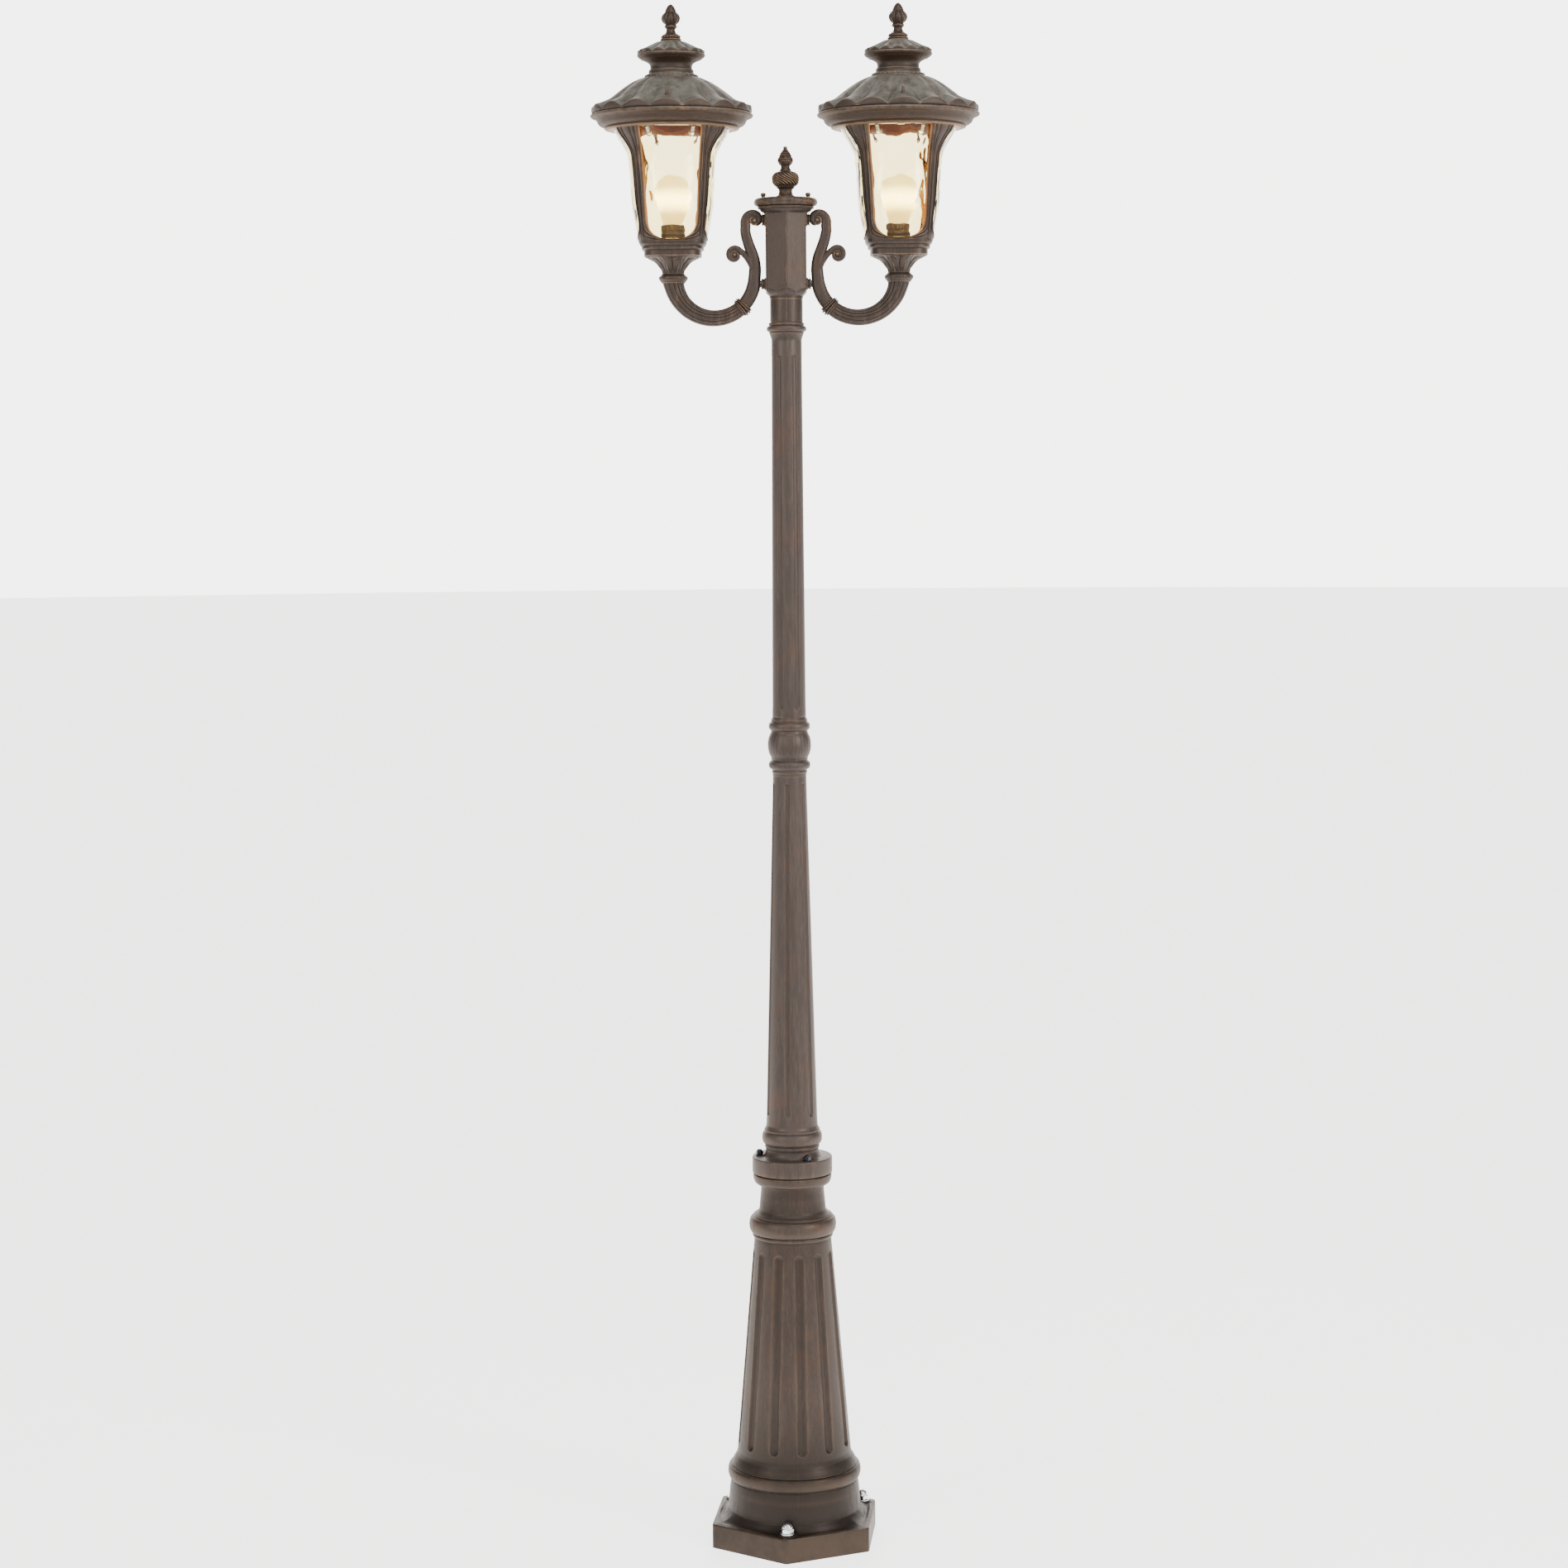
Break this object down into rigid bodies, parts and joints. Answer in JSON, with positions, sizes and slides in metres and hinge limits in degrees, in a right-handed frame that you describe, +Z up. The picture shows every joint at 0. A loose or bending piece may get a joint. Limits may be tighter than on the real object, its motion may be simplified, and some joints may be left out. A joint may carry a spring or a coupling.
{
  "type": "street lamp post",
  "caption": "Street lamp post with a cast fluted pedestal and shaft, scrolled side arms, and amber glass lanterns with lift-off roofs and screw-in bulbs.",
  "frame": {"origin": "on the ground, in the middle of the base's hexagonal plinth, on the post's axis", "axes": "+Z up along the post, +X along the arms to the right-hand lantern, -Y to the front"},
  "size_m": [0.6114, 0.2926, 2.464],
  "materials": {
    "cast_bronze": "cast aluminium in brushed dark bronze paint with hand-rubbed copper edges",
    "roof_bronze": "cast aluminium in dark bronze paint with grey-green and copper rubbing on the petals",
    "gilt_bronze": "cast aluminium, dark bronze with rubbed gold highlights",
    "bright_steel": "bright plated steel",
    "dark_steel": "dark plated steel",
    "brass_fitting": "plain brass",
    "amber_glass": "rippled amber glass",
    "frosted_bulb": "frosted warm white bulb glass",
    "brown_plastic": "brown moulded lampholder",
    "black_plastic": "black cable sheath and sealed splice",
    "white_plastic": "cream insulation"
  },
  "bodies": {
    "post": {"base_pedestal": "cast_bronze", "anchor_washers": "bright_steel", "anchor_cap_nuts": "bright_steel", "flange_bolts": "dark_steel", "base_splice": "black_plastic", "supply_cable": "black_plastic", "lower_shaft": "cast_bronze", "shaft_collar": "cast_bronze", "coupling_tube": "dark_steel", "upper_shaft": "cast_bronze", "head_sleeve": "cast_bronze", "sleeve_screws": "dark_steel", "hub_locknut": "dark_steel", "arm_hub": "cast_bronze", "splice_block": "white_plastic", "arm_scroll_left": "cast_bronze", "arm_scroll_right": "cast_bronze", "arm_band_left": "gilt_bronze", "arm_band_right": "gilt_bronze", "arm_bend_left": "cast_bronze", "arm_bend_right": "cast_bronze", "arm_bosses_left": "cast_bronze", "arm_bosses_right": "cast_bronze", "arm_fixings_left": "dark_steel", "arm_fixings_right": "dark_steel", "lamp_lead_left": "white_plastic", "lamp_lead_right": "white_plastic", "lantern_nipple_left": "brass_fitting", "lantern_nipple_right": "brass_fitting", "lantern_locknut_left": "brass_fitting", "lantern_locknut_right": "brass_fitting", "lantern_cup_left": "cast_bronze", "lantern_cup_right": "cast_bronze", "lantern_cage_left": "cast_bronze", "lantern_cage_right": "cast_bronze", "glass_panels_left": "amber_glass", "glass_panels_right": "amber_glass", "glass_clips_left": "bright_steel", "glass_clips_right": "bright_steel", "lamp_socket_left": "brown_plastic", "lamp_socket_right": "brown_plastic"},
    "hub_cap": {"hub_cap": "cast_bronze", "hub_cap_screws": "bright_steel", "hub_finial_stud": "dark_steel"},
    "hub_finial": {"hub_finial": "gilt_bronze"},
    "bulb_left": {"bulb_cap_left": "bright_steel", "bulb_glass_left": "frosted_bulb"},
    "roof_left": {"roof_dome_left": "roof_bronze", "roof_crown_left": "roof_bronze", "roof_screws_left": "bright_steel", "roof_stud_left": "dark_steel"},
    "finial_left": {"roof_finial_left": "gilt_bronze"},
    "bulb_right": {"bulb_cap_right": "bright_steel", "bulb_glass_right": "frosted_bulb"},
    "roof_right": {"roof_dome_right": "roof_bronze", "roof_crown_right": "roof_bronze", "roof_screws_right": "bright_steel", "roof_stud_right": "dark_steel"},
    "finial_right": {"roof_finial_right": "gilt_bronze"}
  },
  "joints": [
    {"name": "hub_cap_lift", "type": "slide", "parent": "post", "child": "hub_cap", "axis": [0, 0, 1], "range_m": [0, 0.06]},
    {"name": "hub_finial_turn", "type": "hinge", "parent": "hub_cap", "child": "hub_finial", "pos_m": [0, 0, 2.19], "axis": [0, 0, 1], "continuous": true},
    {"name": "bulb_left_turn", "type": "hinge", "parent": "post", "child": "bulb_left", "pos_m": [-0.178, 0, 2.12], "axis": [0, 0, 1], "continuous": true},
    {"name": "roof_left_lift", "type": "slide", "parent": "post", "child": "roof_left", "axis": [0, 0, 1], "range_m": [0, 0.09]},
    {"name": "finial_left_turn", "type": "hinge", "parent": "roof_left", "child": "finial_left", "pos_m": [-0.178, 0, 2.43], "axis": [0, 0, 1], "continuous": true},
    {"name": "bulb_right_turn", "type": "hinge", "parent": "post", "child": "bulb_right", "pos_m": [0.178, 0, 2.12], "axis": [0, 0, 1], "continuous": true},
    {"name": "roof_right_lift", "type": "slide", "parent": "post", "child": "roof_right", "axis": [0, 0, 1], "range_m": [0, 0.09]},
    {"name": "finial_right_turn", "type": "hinge", "parent": "roof_right", "child": "finial_right", "pos_m": [0.178, 0, 2.43], "axis": [0, 0, 1], "continuous": true}
  ]
}
